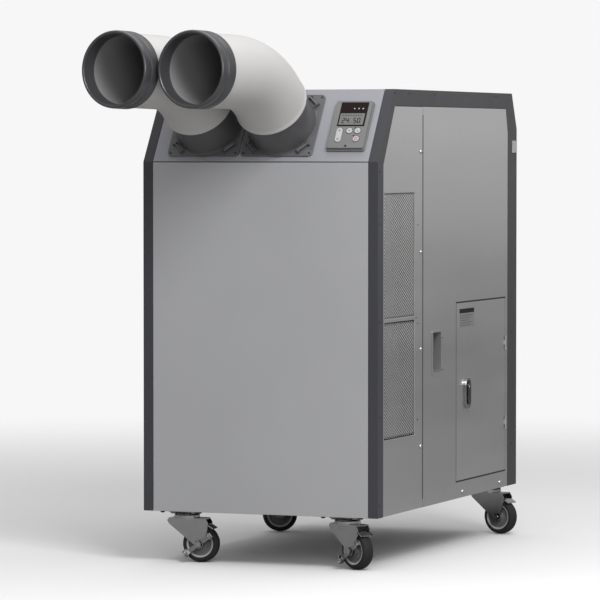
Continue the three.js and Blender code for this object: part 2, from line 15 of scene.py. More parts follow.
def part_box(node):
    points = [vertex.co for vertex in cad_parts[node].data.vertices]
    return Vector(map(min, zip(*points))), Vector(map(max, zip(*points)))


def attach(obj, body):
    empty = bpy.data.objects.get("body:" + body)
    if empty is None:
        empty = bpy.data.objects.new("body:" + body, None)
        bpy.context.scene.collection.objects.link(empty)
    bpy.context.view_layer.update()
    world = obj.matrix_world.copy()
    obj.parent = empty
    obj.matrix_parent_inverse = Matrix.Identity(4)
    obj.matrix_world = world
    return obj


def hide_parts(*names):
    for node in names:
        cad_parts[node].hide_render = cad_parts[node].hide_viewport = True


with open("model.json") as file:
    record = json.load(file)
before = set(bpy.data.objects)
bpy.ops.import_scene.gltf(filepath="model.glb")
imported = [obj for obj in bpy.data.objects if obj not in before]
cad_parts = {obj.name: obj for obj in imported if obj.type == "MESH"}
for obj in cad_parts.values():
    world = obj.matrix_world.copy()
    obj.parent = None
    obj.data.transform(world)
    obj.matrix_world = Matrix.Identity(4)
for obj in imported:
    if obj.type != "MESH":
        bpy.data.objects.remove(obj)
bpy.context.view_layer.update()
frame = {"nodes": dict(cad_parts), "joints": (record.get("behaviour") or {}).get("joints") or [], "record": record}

MM = 0.001
nodes = frame["nodes"]
joints = {joint["name"]: joint for joint in frame["joints"]}
body_of_node = {n: b for b, ns in frame["record"]["behaviour"]["bodies"].items() for n in ns}

# ---- places, from the frame ----
frame_low, frame_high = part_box("side_frame_right")
CENTRE_X = (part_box("side_frame_left")[0].x + frame_high.x) / 2
FRONT = frame_low.y
BASE = frame_low.z  # the cabinet's underside
TOP = frame_high.z
SIDE = frame_high.x - CENTRE_X
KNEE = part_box("front_panel")[1].z + 1 * MM
OUT = -Vector(joints["power_key_press"]["axis"])  # out of the sloped face
UP_SLOPE = Vector((0, OUT.z, -OUT.y))


def slope_matrix(x=0.0, up=0.0, out=0.0):
    """From millimetres on the sloped face (X across, Y up the slope, Z out of it) to the row frame."""
    origin = Vector((CENTRE_X, FRONT, KNEE)) + (Vector((x, 0, 0)) + UP_SLOPE * up + OUT * out) * MM
    basis = Matrix((Vector((1, 0, 0)), UP_SLOPE, OUT)).transposed().to_4x4()
    return Matrix.Translation(origin) @ basis @ Matrix.Scale(MM, 4)


def side_matrix(side, y=0.0, z=0.0, out=0.0):
    """From millimetres on a side face (Y up, Z out of it) to the row frame."""
    origin = Vector((CENTRE_X + side * (SIDE + out * MM), FRONT + y * MM, BASE + z * MM))
    across = Vector((0, side, 0))
    basis = Matrix((across, Vector((0, 0, 1)), Vector((side, 0, 0)))).transposed().to_4x4()
    return Matrix.Translation(origin) @ basis @ Matrix.Scale(MM, 4)


# ---- shader maths ----
class Wire:
    """A node's output; arithmetic on it adds Math nodes."""

    def __init__(self, finish, socket):
        self.finish = finish
        self.socket = socket

    def math(self, operation, *values):
        return self.finish.node("ShaderNodeMath", {"operation": operation}, **{
            str(i): value for i, value in enumerate(values)
        })

    def __add__(self, other):
        return self.math("ADD", self, other)

    def __radd__(self, other):
        return self.math("ADD", other, self)

    def __sub__(self, other):
        return self.math("SUBTRACT", self, other)

    def __mul__(self, other):
        return self.math("MULTIPLY", self, other)

    def __rmul__(self, other):
        return self.math("MULTIPLY", other, self)


class Finish:
    """A material around one Principled shader."""

    def __init__(self, name, **fixed):
        self.material = bpy.data.materials.new(name)
        self.material.use_nodes = True
        self.tree = self.material.node_tree
        self.shader = self.tree.nodes["Principled BSDF"]
        self.set(**fixed)

    def node(self, kind, settings=None, output=0, **inputs):
        """Adds a node: its settings first, then its sockets, named or numbered, from values or Wires."""
        made = self.tree.nodes.new(kind)
        for key, value in (settings or {}).items():
            setattr(made, key, value)
        for key, value in inputs.items():
            socket = made.inputs[int(key)] if key.isdigit() else made.inputs[key.replace("_", " ")]
            self.feed(socket, value)
        return Wire(self, made.outputs[output])

    def feed(self, socket, value):
        if isinstance(value, Wire):
            self.tree.links.new(value.socket, socket)
        else:
            socket.default_value = value

    def set(self, **inputs):
        for key, value in inputs.items():
            self.feed(self.shader.inputs[key.replace("_", " ")], value)
        return self

    # -- building blocks --
    def noise(self, scale, detail=2.0, stretch=(1, 1, 1)):
        """Noise over the object's coordinates, stretched."""
        where = self.node("ShaderNodeTexCoord", output=3)
        where = self.node("ShaderNodeMapping", {"vector_type": "POINT"}, Vector=where, Scale=stretch)
        return self.node("ShaderNodeTexNoise", Vector=where, Scale=scale, Detail=detail, Roughness=0.55)

    def blend(self, factor, low, high):
        """A colour between two colours, or between a Wire's colour and another."""
        made = self.node("ShaderNodeMix", {"data_type": "RGBA"}, output=2)
        mix = made.socket.node
        self.feed(mix.inputs[0], factor)
        self.feed(mix.inputs[6], low)
        self.feed(mix.inputs[7], high)
        return made

    def bump(self, height, distance, strength):
        return self.node("ShaderNodeBump", Height=height, Distance=distance, Strength=strength)


def grey(level, tone=0.0):
    """A linear grey, warm when tone is above 0 and bluish below it."""
    if tone < 0:
        return (level, level * (1 - 0.1 * tone), level * (1 - tone), 1)
    return (level * (1 + tone), level, level * (1 - tone), 1)


def powder_coat(name, level, tone, roughness, texture=0.00012):
    """Baked powder paint on sheet metal: orange peel, faint clouding and uneven gloss."""
    finish = Finish(name, Metallic=0.0, Coat_Roughness=0.3, Specular_IOR_Level=0.3)
    peel = finish.noise(420, 3)
    cloud = finish.noise(3.5, 2)
    finish.set(
        Base_Color=finish.blend(cloud, grey(level * 0.93, tone), grey(level * 1.07, tone)),
        Roughness=roughness + 0.12 * finish.noise(38, 3) - 0.06,
        Coat_Weight=0.04 + 0.06 * cloud,
        Normal=finish.bump(peel, texture, 0.6),
    )
    return finish.material


def satin_sheet(name, level, metallic=0.72, roughness=0.36, tone_and_sheen=0.10):
    """Satin-finished sheet metal: fine grain, level streaks and slow ripples. In the colour the streaks are
    painted reflection bands; in the roughness they are the satin finish.
    """
    finish = Finish(name)
    grain = finish.noise(30, 3, (8, 8, 0.5))
    streak_and_sheen = finish.noise(3.2, 3, (1, 0.35, 3.4))
    cloud = finish.noise(2.4, 2)
    ripple = finish.noise(1.6, 1, (1, 0.5, 1.8))
    # The level streaks in the colour are painted reflection bands; the grain and the clouding are the sheet's own
    # tone.
    tone = 0.2 * grain + 0.5 * streak_and_sheen + 0.3 * cloud
    finish.set(
        Base_Color=finish.blend(tone, grey(level * (1 - 2 * tone_and_sheen)), grey(level * (1 + 2 * tone_and_sheen))),
        Metallic=metallic,
        Roughness=roughness + 0.05 * grain + 0.16 * streak_and_sheen - 0.11,
        Normal=finish.bump(ripple + 0.0004 * grain, 0.012, 0.4),
    )
    return finish.material


def moulded(name, level, tone=0.0, roughness=0.5, grain=0.00008, scale=900):
    """Moulded plastic: a fine spark-eroded grain with slightly uneven gloss."""
    finish = Finish(name, Specular_IOR_Level=0.45)
    spark = finish.noise(scale, 3)
    cloud = finish.noise(9, 2)
    finish.set(
        Base_Color=finish.blend(cloud, grey(level * 0.95, tone), grey(level * 1.05, tone)),
        Roughness=roughness + 0.1 * cloud - 0.05,
        Normal=finish.bump(spark, grain, 0.5),
    )
    return finish.material


def plated(name, level, roughness=0.24, tone=0.0):
    """Bright plating over pressed or turned steel: fine scuffs and blotchy gloss."""
    finish = Finish(name, Metallic=1.0)
    scuff = finish.noise(180, 4, (1, 1, 3))
    blotch = finish.noise(45, 2)
    finish.set(
        Base_Color=finish.blend(blotch, grey(level * 0.7, tone), grey(level, tone)),
        Roughness=roughness + 0.16 * blotch - 0.04,
        Normal=finish.bump(scuff, 0.00006, 0.5),
    )
    return finish.material


def rubber_finish(name, level):
    """Matte tyre rubber with a dusty bloom."""
    finish = Finish(name, Specular_IOR_Level=0.3)
    dust = finish.noise(60, 4)
    finish.set(
        Base_Color=finish.blend(dust, grey(level * 0.75), grey(level * 1.5, 0.03)),
        Roughness=0.62 + 0.2 * dust,
        Normal=finish.bump(finish.noise(900, 2), 0.00008, 0.6),
    )
    return finish.material


def enamel(name, color, roughness=0.3, coat=0.3):
    """A glossy coloured surface with faint unevenness."""
    finish = Finish(name, Coat_Roughness=0.15, Specular_IOR_Level=0.12)
    cloud = finish.noise(14, 2)
    dim = tuple(0.85 * c for c in color[:3]) + (1,)
    finish.set(
        Base_Color=finish.blend(cloud, dim, color),
        Roughness=roughness + 0.08 * cloud,
        Coat_Weight=coat * cloud,
    )
    return finish.material


DARK_FRAME = powder_coat("dark_frame_coat", 0.042, -0.16, 0.5)
FRONT_PAINT = powder_coat("front_panel_coat", 0.34, -0.03, 0.44)
# The top and the sloped outlet panel wear the front panel's paint. These darker copies, the outlet one also bluer,
# are painted shade against the stronger light on them.
TOP_SHADED_PAINT = powder_coat("top_panel_shaded_coat", 0.26, -0.03, 0.62)
SLOPE_SHADED_PAINT = powder_coat("outlet_panel_shaded_coat", 0.265, -0.09, 0.42)
SATIN = satin_sheet("satin_side_sheet", 0.44, 0.8)
DOOR_SATIN = satin_sheet("satin_door_sheet", 0.5, 0.85, 0.34, 0.1)
SCREEN = satin_sheet("screen_sheet", 0.62)
GALVANISED = satin_sheet("galvanised_sheet", 0.45, 0.85, 0.4)
DUCT = moulded("duct_plastic", 0.48, 0.02, 0.55, 0.0001, 700)
# A darker copy of the duct plastic for the duct's inner wall: painted shade inside the bore.
BORE_SHADE = moulded("duct_lining", 0.27, 0.0, 0.6, 0.0002, 300)
RING = moulded("ring_plastic", 0.05, -0.08, 0.25)
FLANGE = moulded("flange_plastic", 0.1, -0.08, 0.36)
COLLAR = moulded("collar_plastic", 0.075, -0.04, 0.3)
CONTROL = moulded("control_plastic", 0.16, 0.0, 0.42, 0.00005, 1500)
KEY = moulded("key_plastic", 0.42, 0.0, 0.4, 0.00004, 1500)
WINDOW = enamel("window_black", (0.012, 0.006, 0.006, 1), 0.34, 0.0)
LCD = enamel("lcd_pane", (0.17, 0.175, 0.165, 1), 0.3, 0.2)
INK = enamel("dark_print", (0.012, 0.012, 0.013, 1), 0.5, 0.0)
PALE_INK = enamel("pale_print", (0.5, 0.5, 0.5, 1), 0.5, 0.0)
GREY_INK = enamel("grey_print", (0.12, 0.12, 0.12, 1), 0.55, 0.0)
RED_INK = enamel("red_print", (0.5, 0.04, 0.06, 1), 0.45, 0.0)
LABEL = enamel("label_film", (0.24, 0.24, 0.24, 1), 0.4, 0.2)
CHROME = plated("latch_chrome", 0.5, 0.14)
DARK_CHROME = plated("lever_chrome", 0.12, 0.2)
ZINC = plated("zinc_plating", 0.34, 0.13)
FORK_STEEL = plated("fork_plating", 0.42, 0.08)
SCREW_STEEL = plated("screw_steel", 0.66, 0.2)
BLACK_SCREW = plated("black_screw", 0.05, 0.3)
HUB = moulded("wheel_hub_plastic", 0.12, 0.0, 0.42)
HUB_RIM = moulded("wheel_rim_plastic", 0.35, 0.0, 0.35)
TYRE = rubber_finish("tyre_rubber", 0.016)
FILTER = rubber_finish("filter_media", 0.01)
# Near-black strips set in the seams: painted shadow of the gaps between panels.
SEAM_SHADOW = rubber_finish("seam_shadow_rubber", 0.02)
BLACK_ENAMEL = enamel("black_enamel", (0.012, 0.012, 0.013, 1), 0.35, 0.4)
TANK = moulded("tank_plastic", 0.6, 0.01, 0.4)
GLAND = moulded("gland_plastic", 0.02, 0.0, 0.45)
FIN = plated("fin_aluminium", 0.5, 0.35)
COPPER = plated("copper_tube", 0.5, 0.3, 0.35)


# ---- meshes ----
def finish_mesh(piece, material, angle=35):
    """Sets the material and smooths the faces that meet at less than an angle."""
    piece.data.materials.clear()
    piece.data.materials.append(material)
    for polygon in piece.data.polygons:
        polygon.use_smooth = True
    piece.data.set_sharp_from_angle(angle=math.radians(angle))
    return piece


def piece_from(name, builder, material, matrix=Matrix.Identity(4), angle=35, recalc=True):
    """A mesh object from a bmesh, with its place baked in."""
    builder.transform(matrix)
    if recalc:
        bmesh.ops.recalc_face_normals(builder, faces=builder.faces)
    data = bpy.data.meshes.new(name)
    builder.to_mesh(data)
    builder.free()
    piece = bpy.data.objects.new(name, data)
    bpy.context.scene.collection.objects.link(piece)
    return finish_mesh(piece, material, angle)


def settle_normals(piece):
    """Lets each big flat face rule the normals beside it, so that it looks flat up to its rounded edges."""
    mesh = piece.data
    facing = [tuple(round(c, 2) for c in polygon.normal) for polygon in mesh.polygons]
    weight = {}
    around = [[] for _ in mesh.vertices]
    for polygon in mesh.polygons:
        weight[facing[polygon.index]] = weight.get(facing[polygon.index], 0) + polygon.area
        for corner in polygon.vertices:
            around[corner].append(polygon)
    normals = [None] * len(mesh.loops)
    for polygon in mesh.polygons:
        for loop, corner in zip(polygon.loop_indices, polygon.vertices):
            near = [p for p in around[corner] if p.normal.dot(polygon.normal) > 0.8]
            total = sum((p.normal * weight[facing[p.index]] for p in near), Vector())
            normals[loop] = total.normalized()
    mesh.normals_split_custom_set(normals)
    return piece


def apply_modifiers(piece):
    """Replaces the mesh by its evaluated one and drops the modifiers."""
    graph = bpy.context.evaluated_depsgraph_get()
    data = bpy.data.meshes.new_from_object(piece.evaluated_get(graph))
    piece.modifiers.clear()
    piece.data = data
    return piece


def add(piece, body, node=None):
    """Puts a finished piece on its body, in a CAD node's stead when one is named."""
    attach(piece, body)
    if node:
        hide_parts(node)
    return piece


def merged_copy(node):
    """A bmesh of a CAD node with its coplanar facets merged."""
    builder = bmesh.new()
    builder.from_mesh(nodes[node].data)
    bmesh.ops.remove_doubles(builder, verts=builder.verts, dist=1e-5)
    bmesh.ops.dissolve_limit(
        builder, angle_limit=math.radians(1), verts=builder.verts, edges=builder.edges
    )
    return builder


def fold_edges(node, material, side):
    """A side panel with only its outer edges rounded, as folded sheet is."""
    builder = merged_copy(node)
    face = max(side * v.co.x for v in builder.verts)
    outer = [
        e for e in builder.edges
        if all(side * v.co.x > face - 0.1 * MM for v in e.verts) and e.calc_face_angle(0) > 0.5
    ]
    bmesh.ops.bevel(
        builder, geom=outer, offset=1.2 * MM, segments=3, affect="EDGES", profile=0.5, clamp_overlap=False
    )
    piece = settle_normals(piece_from(node + "_skin", builder, material, recalc=False))
    return add(piece, body_of_node[node], node)


def refine(node, material, width=0.8, segments=2, angle=30):
    """A copy of a CAD node with its facets merged and its edges rounded, in the node's stead."""
    builder = merged_copy(node)
    piece = piece_from(node + "_skin", builder, material, recalc=False)
    bevel = piece.modifiers.new("edge", "BEVEL")
    bevel.width = width * MM
    bevel.segments = segments
    bevel.limit_method = "ANGLE"
    bevel.angle_limit = math.radians(angle)
    apply_modifiers(piece)
    settle_normals(finish_mesh(piece, material, 30))
    return add(piece, body_of_node[node], node)


def lathe(name, profile, matrix, material, segments=72, angle=28):
    """A closed outline of [radius, height] points turned about Z."""
    builder = bmesh.new()
    rings = []
    for i in range(segments):
        a = 2 * math.pi * i / segments
        rings.append([builder.verts.new((r * math.cos(a), r * math.sin(a), h)) for r, h in profile])
    for i, ring in enumerate(rings):
        after = rings[(i + 1) % segments]
        for k in range(len(profile)):
            m = (k + 1) % len(profile)
            builder.faces.new((ring[k], after[k], after[m], ring[m]))
    bmesh.ops.remove_doubles(builder, verts=builder.verts, dist=1e-4)
    return piece_from(name, builder, material, matrix, angle)


def outline_rounded(width, height, radius, steps=6):
    """A rectangle with round corners about the origin."""
    points = []
    for k, (sx, sy) in enumerate(((1, 1), (-1, 1), (-1, -1), (1, -1))):
        for i in range(steps + 1):
            a = math.pi / 2 * (k + i / steps)
            points.append((
                sx * (width / 2 - radius) + radius * math.cos(a),
                sy * (height / 2 - radius) + radius * math.sin(a),
            ))
    return points


def outline_circle(radius, steps=40):
    return [
        (radius * math.cos(2 * math.pi * i / steps), radius * math.sin(2 * math.pi * i / steps))
        for i in range(steps)
    ]


def slab(name, points, low, high, matrix, material, edge=0.5):
    """An outline pushed from low to high, with its rims rounded. Millimetres on the given plane."""
    builder = bmesh.new()
    floor = [builder.verts.new((x, y, low)) for x, y in points]
    face = builder.faces.new(floor)
    lifted = bmesh.ops.extrude_face_region(builder, geom=[face])
    top = [v for v in lifted["geom"] if isinstance(v, bmesh.types.BMVert)]
    bmesh.ops.translate(builder, verts=top, vec=(0, 0, high - low))
    rims = [e for e in builder.edges if abs(e.verts[0].co.z - e.verts[1].co.z) < 1e-6]
    bmesh.ops.bevel(builder, geom=rims, offset=edge, segments=2, affect="EDGES", profile=0.5)
    return settle_normals(piece_from(name, builder, material, matrix))


def block(name, size, at, matrix, material, edge=0.4):
    """A box of a size about a place, with rounded edges. Millimetres on the given plane."""
    builder = bmesh.new()
    bmesh.ops.create_cube(builder, size=1)
    bmesh.ops.scale(builder, vec=size, verts=builder.verts)
    bmesh.ops.translate(builder, vec=at, verts=builder.verts)
    bmesh.ops.bevel(builder, geom=list(builder.edges), offset=edge, segments=2, affect="EDGES", profile=0.5)
    return settle_normals(piece_from(name, builder, material, matrix))


def moved(points, x, y):
    return [(px + x, py + y) for px, py in points]


# ---- geometry nodes for what repeats ----
class Tree:
    """A Geometry Nodes tree with named inputs, filled in by code."""

    def __init__(self, name, **sockets):
        self.group = bpy.data.node_groups.new(name, "GeometryNodeTree")
        face = self.group.interface
        face.new_socket("Geometry", in_out="INPUT", socket_type="NodeSocketGeometry")
        for title, kind in sockets.items():
            face.new_socket(title, in_out="INPUT", socket_type="NodeSocket" + kind)
        face.new_socket("Geometry", in_out="OUTPUT", socket_type="NodeSocketGeometry")
        self.source = self.group.nodes.new("NodeGroupInput")
        self.sink = self.group.nodes.new("NodeGroupOutput")

    def given(self, title):
        return self.source.outputs[title]

    def node(self, kind, settings=None, output=0, **inputs):
        made = self.group.nodes.new(kind)
        for key, value in (settings or {}).items():
            setattr(made, key, value)
        for key, value in inputs.items():
            socket = made.inputs[int(key[1:])] if key[0] == "_" else made.inputs[key.replace("_", " ")]
            if isinstance(value, bpy.types.NodeSocket):
                self.group.links.new(value, socket)
            else:
                socket.default_value = value
        return made.outputs[output]

    def maths(self, operation, a, b):
        return self.node("ShaderNodeMath", {"operation": operation}, _0=a, _1=b)

    def close(self, geometry, material):
        real = self.node("GeometryNodeRealizeInstances", Geometry=geometry)
        painted = self.node("GeometryNodeSetMaterial", Geometry=real, Material=material)
        self.group.links.new(painted, self.sink.inputs[0])
        return self.group

    def run(self, piece, **values):
        """Runs the tree on a piece and keeps the plain mesh."""
        modifier = piece.modifiers.new("repeat", "NODES")
        modifier.node_group = self.group
        for item in self.group.interface.items_tree:
            if item.in_out == "INPUT" and item.name in values:
                modifier[item.identifier] = values[item.name]
        return apply_modifiers(piece)


def fastener_tree():
    """One head on every point, its Z turned to the point's facing."""
    tree = Tree("fasteners", Head="Object", Finish="Material")
    facing = tree.node("GeometryNodeInputNamedAttribute", {"data_type": "FLOAT_VECTOR"}, Name="facing")
    turn = tree.node("FunctionNodeAlignRotationToVector", {"axis": "Z"}, Vector=facing)
    head = tree.node("GeometryNodeObjectInfo", output="Geometry", Object=tree.given("Head"))
    placed = tree.node(
        "GeometryNodeInstanceOnPoints", Points=tree.given("Geometry"), Instance=head, Rotation=turn
    )
    tree.close(placed, tree.given("Finish"))
    return tree


def lattice_tree():
    """A tile repeated over staggered columns in the YZ plane."""
    tree = Tree("perforations", Columns="Int", Rows="Int", Across="Float", Pitch="Float", Finish="Material")
    pitch, across = tree.given("Pitch"), tree.given("Across")
    rise = tree.node("ShaderNodeCombineXYZ", X=0.0, Y=0.0, Z=pitch)
    step = tree.node("ShaderNodeCombineXYZ", X=0.0, Y=across, Z=0.0)
    line = {"mode": "OFFSET"}
    column = tree.node("GeometryNodeMeshLine", line, Count=tree.given("Rows"), Offset=rise)
    feet = tree.node("GeometryNodeMeshLine", line, Count=tree.given("Columns"), Offset=step)
    odd = tree.maths("MODULO", tree.node("GeometryNodeInputIndex"), 2.0)
    half = tree.maths("MULTIPLY", tree.maths("MULTIPLY", odd, 0.5), pitch)
    lift = tree.node("ShaderNodeCombineXYZ", X=0.0, Y=0.0, Z=half)
    staggered = tree.node("GeometryNodeSetPosition", Geometry=feet, Offset=lift)
    lines = tree.node("GeometryNodeInstanceOnPoints", Points=staggered, Instance=column)
    points = tree.node("GeometryNodeRealizeInstances", Geometry=lines)
    tiles = tree.node("GeometryNodeInstanceOnPoints", Points=points, Instance=tree.given("Geometry"))
    real = tree.node("GeometryNodeRealizeInstances", Geometry=tiles)
    welded = tree.node("GeometryNodeMergeByDistance", Geometry=real, Distance=0.00002)
    tree.close(welded, tree.given("Finish"))
    return tree


def row_tree():
    """The input piece repeated along one line."""
    tree = Tree("row", Count="Int", Step="Vector", Finish="Material")
    line = tree.node(
        "GeometryNodeMeshLine", {"mode": "OFFSET"}, Count=tree.given("Count"), Offset=tree.given("Step")
    )
    placed = tree.node("GeometryNodeInstanceOnPoints", Points=line, Instance=tree.given("Geometry"))
    tree.close(placed, tree.given("Finish"))
    return tree


FASTENERS = fastener_tree()
LATTICE = lattice_tree()
ROW = row_tree()


def screw_head(name, radius, height, recess=True, segments=16):
    """A domed head standing on the XY plane, with a cross recess."""
    builder = bmesh.new()
    rings = [(1.0, 0.0), (1.0, 0.25), (0.86, 0.7), (0.55, 0.95), (0.34, 1.0)]
    if recess:
        rings += [(0.24, 0.55)]
    loops = []
    for scale, lift in rings:
        loop = []
        for i in range(segments):
            a = 2 * math.pi * i / segments
            star = 1.0
            if recess and scale < 0.5:
                star = 1.25 if i % 4 == 0 else 0.62
            loop.append(builder.verts.new((
                radius * scale * star * math.cos(a), radius * scale * star * math.sin(a), height * lift
            )))
        loops.append(loop)
    for low, high in zip(loops, loops[1:]):
        for i in range(segments):
            j = (i + 1) % segments
            builder.faces.new((low[i], low[j], high[j], high[i]))
    builder.faces.new(loops[-1])
    builder.faces.new(list(reversed(loops[0])))
    return piece_from(name, builder, SCREW_STEEL, Matrix.Scale(MM, 4), 40)


HEADS = {
    "dome": screw_head("dome_head", 4.6, 3.0),
    "flat": screw_head("flat_head", 2.4, 0.9),
    "small": screw_head("small_head", 1.9, 0.8),
    "bolt": screw_head("bolt_head", 5.2, 3.6, recess=False, segments=6),
    "rivet": screw_head("rivet_head", 1.8, 0.7, recess=False, segments=12),
}


def fasteners(name, head, spots, material):
    """One piece on the cabinet with all of a kind: spots are (place, facing) pairs in the row frame."""
    data = bpy.data.meshes.new(name)
    data.from_pydata([tuple(place) for place, _ in spots], [], [])
    facing = data.attributes.new("facing", "FLOAT_VECTOR", "POINT")
    for i, (_, direction) in enumerate(spots):
        facing.data[i].vector = tuple(direction)
    piece = bpy.data.objects.new(name, data)
    bpy.context.scene.collection.objects.link(piece)
    FASTENERS.run(piece, Head=HEADS[head], Finish=material)
    finish_mesh(piece, material, 40)
    add(piece, "cabinet")


# ---- camera, light and floor ----
LENS = 236.9
CAMERA_PLACE = (2.9041, -7.2466, 0.8349)  # from the middle of the front, above the floor
CAMERA_TURN = (21.248, 2.2296)  # degrees to the left and downwards
FLOOR_REACH = 4.5
FLOOR_FADE = (1.5, 4.4)  # from here to there the floor thins out into the backdrop
DOME_LIGHT = (0.12, 0.6)  # from below and from above
BACKDROP = 0.93


def make_camera():
    """A long lens from the front right, a little above the top of the front panel."""
    data = bpy.data.cameras.new("camera")
    data.lens = LENS
    data.sensor_width = 36
    data.clip_end = 60
    camera = bpy.data.objects.new("camera", data)
    x, y, z = CAMERA_PLACE
    camera.location = (CENTRE_X + x, FRONT + y, z)
    yaw, pitch = (math.radians(turn) for turn in CAMERA_TURN)
    camera.rotation_euler = (math.pi / 2 - pitch, 0, yaw)
    bpy.context.scene.collection.objects.link(camera)
    bpy.context.scene.camera = camera


def area_light(name, place, target, size, power):
    data = bpy.data.lights.new(name, "AREA")
    data.shape = "RECTANGLE"
    data.size, data.size_y = size
    data.energy = power
    light = bpy.data.objects.new(name, data)
    light.location = place
    light.rotation_euler = (Vector(target) - Vector(place)).to_track_quat("-Z", "Y").to_euler()
    bpy.context.scene.collection.objects.link(light)


def make_floor():
    """A pale floor that thins out away from the machine."""
    builder = bmesh.new()
    bmesh.ops.create_circle(builder, cap_ends=True, segments=96, radius=FLOOR_REACH)
    finish = Finish("floor_paint", Roughness=0.9)
    speck = finish.noise(2, 2)
    seen = finish.node("ShaderNodeLightPath")
    finish.set(Base_Color=finish.blend(0.96 * seen + 0.04 * speck, grey(0.38), grey(0.84)))
    where = finish.node("ShaderNodeTexCoord", output=3)
    reach = finish.node("ShaderNodeVectorMath", {"operation": "LENGTH"}, output=1, Vector=where)
    fade = finish.node(
        "ShaderNodeMapRange", {"interpolation_type": "SMOOTHSTEP"},
        Value=reach, From_Min=FLOOR_FADE[0], From_Max=FLOOR_FADE[1], To_Min=0.0, To_Max=1.0,
    )
    clear = finish.node("ShaderNodeBsdfTransparent")
    solid = Wire(finish, finish.shader.outputs[0])
    mixed = finish.node("ShaderNodeMixShader", **{"0": fade, "1": solid, "2": clear})
    finish.tree.links.new(mixed.socket, finish.tree.nodes["Material Output"].inputs["Surface"])
    floor = piece_from("floor", builder, finish.material)
    floor.location.z = -0.0005


def make_world():
    """A studio dome: light from above, little from below, and a plain pale backdrop."""
    world = bpy.data.worlds.new("studio")
    bpy.context.scene.world = world
    world.use_nodes = True
    tree = world.node_tree
    dome = tree.nodes["Background"]
    where = tree.nodes.new("ShaderNodeTexCoord")
    parts = tree.nodes.new("ShaderNodeSeparateXYZ")
    rise = tree.nodes.new("ShaderNodeMapRange")
    rise.interpolation_type = "SMOOTHSTEP"
    low, high = DOME_LIGHT
    for title, value in (("From Min", -0.3), ("From Max", 0.6), ("To Min", low), ("To Max", high)):
        rise.inputs[title].default_value = value
    backdrop = tree.nodes.new("ShaderNodeBackground")
    backdrop.inputs["Strength"].default_value = BACKDROP
    path = tree.nodes.new("ShaderNodeLightPath")
    mix = tree.nodes.new("ShaderNodeMixShader")
    link = tree.links.new
    link(where.outputs["Generated"], parts.inputs[0])
    link(parts.outputs["Z"], rise.inputs["Value"])
    link(rise.outputs[0], dome.inputs["Strength"])
    link(path.outputs["Is Camera Ray"], mix.inputs[0])
    link(dome.outputs[0], mix.inputs[1])
    link(backdrop.outputs[0], mix.inputs[2])
    link(mix.outputs[0], tree.nodes["World Output"].inputs["Surface"])
    for background in (dome, backdrop):
        background.inputs["Color"].default_value = (1, 1, 1, 1)


def make_lights():
    area_light("key", (2.1, -2.3, 2.9), (0, -0.1, 0.75), (1.5, 1.5), 96)
    area_light("overhead", (0.2, 0.1, 2.4), (0, 0.1, 0.9), (1.4, 1.8), 14)
    area_light("front_fill", (1.7, -3.9, 1.5), (0, 0, 0.65), (1.4, 1.4), 34)
    area_light("side_glow", (2.1, 4.5, 1.15), (0.25, 0.2, 0.8), (1.6, 1.2), 5.5)
    bpy.context.scene.view_settings.view_transform = "Standard"


make_camera()
make_floor()
make_world()
make_lights()


# ---- sheet metal ----
def make_sheet_metal():
    for side, sign in (("left", -1), ("right", 1)):
        refine("side_frame_" + side, DARK_FRAME, 1.6, 3)
        fold_edges("filter_panel_" + side, SATIN, sign)
        fold_edges("service_panel_" + side, SATIN, sign)
        refine("grip_cup_" + side, SATIN, 0.5)
    refine("front_panel", FRONT_PAINT, 1.2, 3)
    refine("outlet_panel", SLOPE_SHADED_PAINT, 0.4)
    refine("top_panel", TOP_SHADED_PAINT, 1.0)
    refine("rear_panel", SATIN, 0.4)
    refine("base_pan", GALVANISED, 0.8)
    refine("access_door", DOOR_SATIN, 0.8)
    refine("cord_gland", GLAND, 0.6)
    refine("drain_tank", TANK, 1.2)
    refine("electrical_box", GALVANISED, 0.6)
    refine("compressor", BLACK_ENAMEL, 1.5, 2, 40)
    refine("fan_motor", BLACK_ENAMEL, 0.8, 2, 40)
    refine("blower_housing", GALVANISED, 0.5)
    refine("blower_wheel", GALVANISED, 0.3)
    refine("condenser_fan", GALVANISED, 0.5)
    make_seals()


SEAM_Y, SEAM_MIDDLE, SEAM_LENGTH = 264, 405, 776  # between the filter and the service panels
SHADOW_STRIP_DEPTH = (-1.4, -0.35)  # in the gap, just below the face
SHADOW_STRIP_EDGE = 0.1


def make_seals():
    """Thin black strips in the side seams and round the access door, painting the shadow in the gaps there."""
    for side, name in ((1, "right"), (-1, "left")):
        plane = side_matrix(side, SEAM_Y, SEAM_MIDDLE)
        strip = bar_outline(0, 0, 4.4, SEAM_LENGTH)
        add(slab("seam_seal_" + name, strip, *SHADOW_STRIP_DEPTH, plane, SEAM_SHADOW, SHADOW_STRIP_EDGE), "cabinet")
    low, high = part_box("access_door")
    y0, y1 = (low.y - FRONT) / MM, (high.y - FRONT) / MM
    z0, z1 = (low.z - BASE) / MM, (high.z - BASE) / MM
    bars = [
        ((y0 + y1) / 2, z0 - 1.4, y1 - y0 + 6, 3.2), ((y0 + y1) / 2, z1 + 1.4, y1 - y0 + 6, 3.2),
        (y0 - 0.9, (z0 + z1) / 2, 1.8, z1 - z0),
    ]
    for i, bar in enumerate(bars):
        strip = slab(f"door_seal_{i}", bar_outline(*bar), *SHADOW_STRIP_DEPTH, side_matrix(1), SEAM_SHADOW, SHADOW_STRIP_EDGE)
        add(strip, "cabinet")


def bar_outline(x, y, width, height):
    return moved(outline_rounded(width, height, 0.4, 1), x, y)


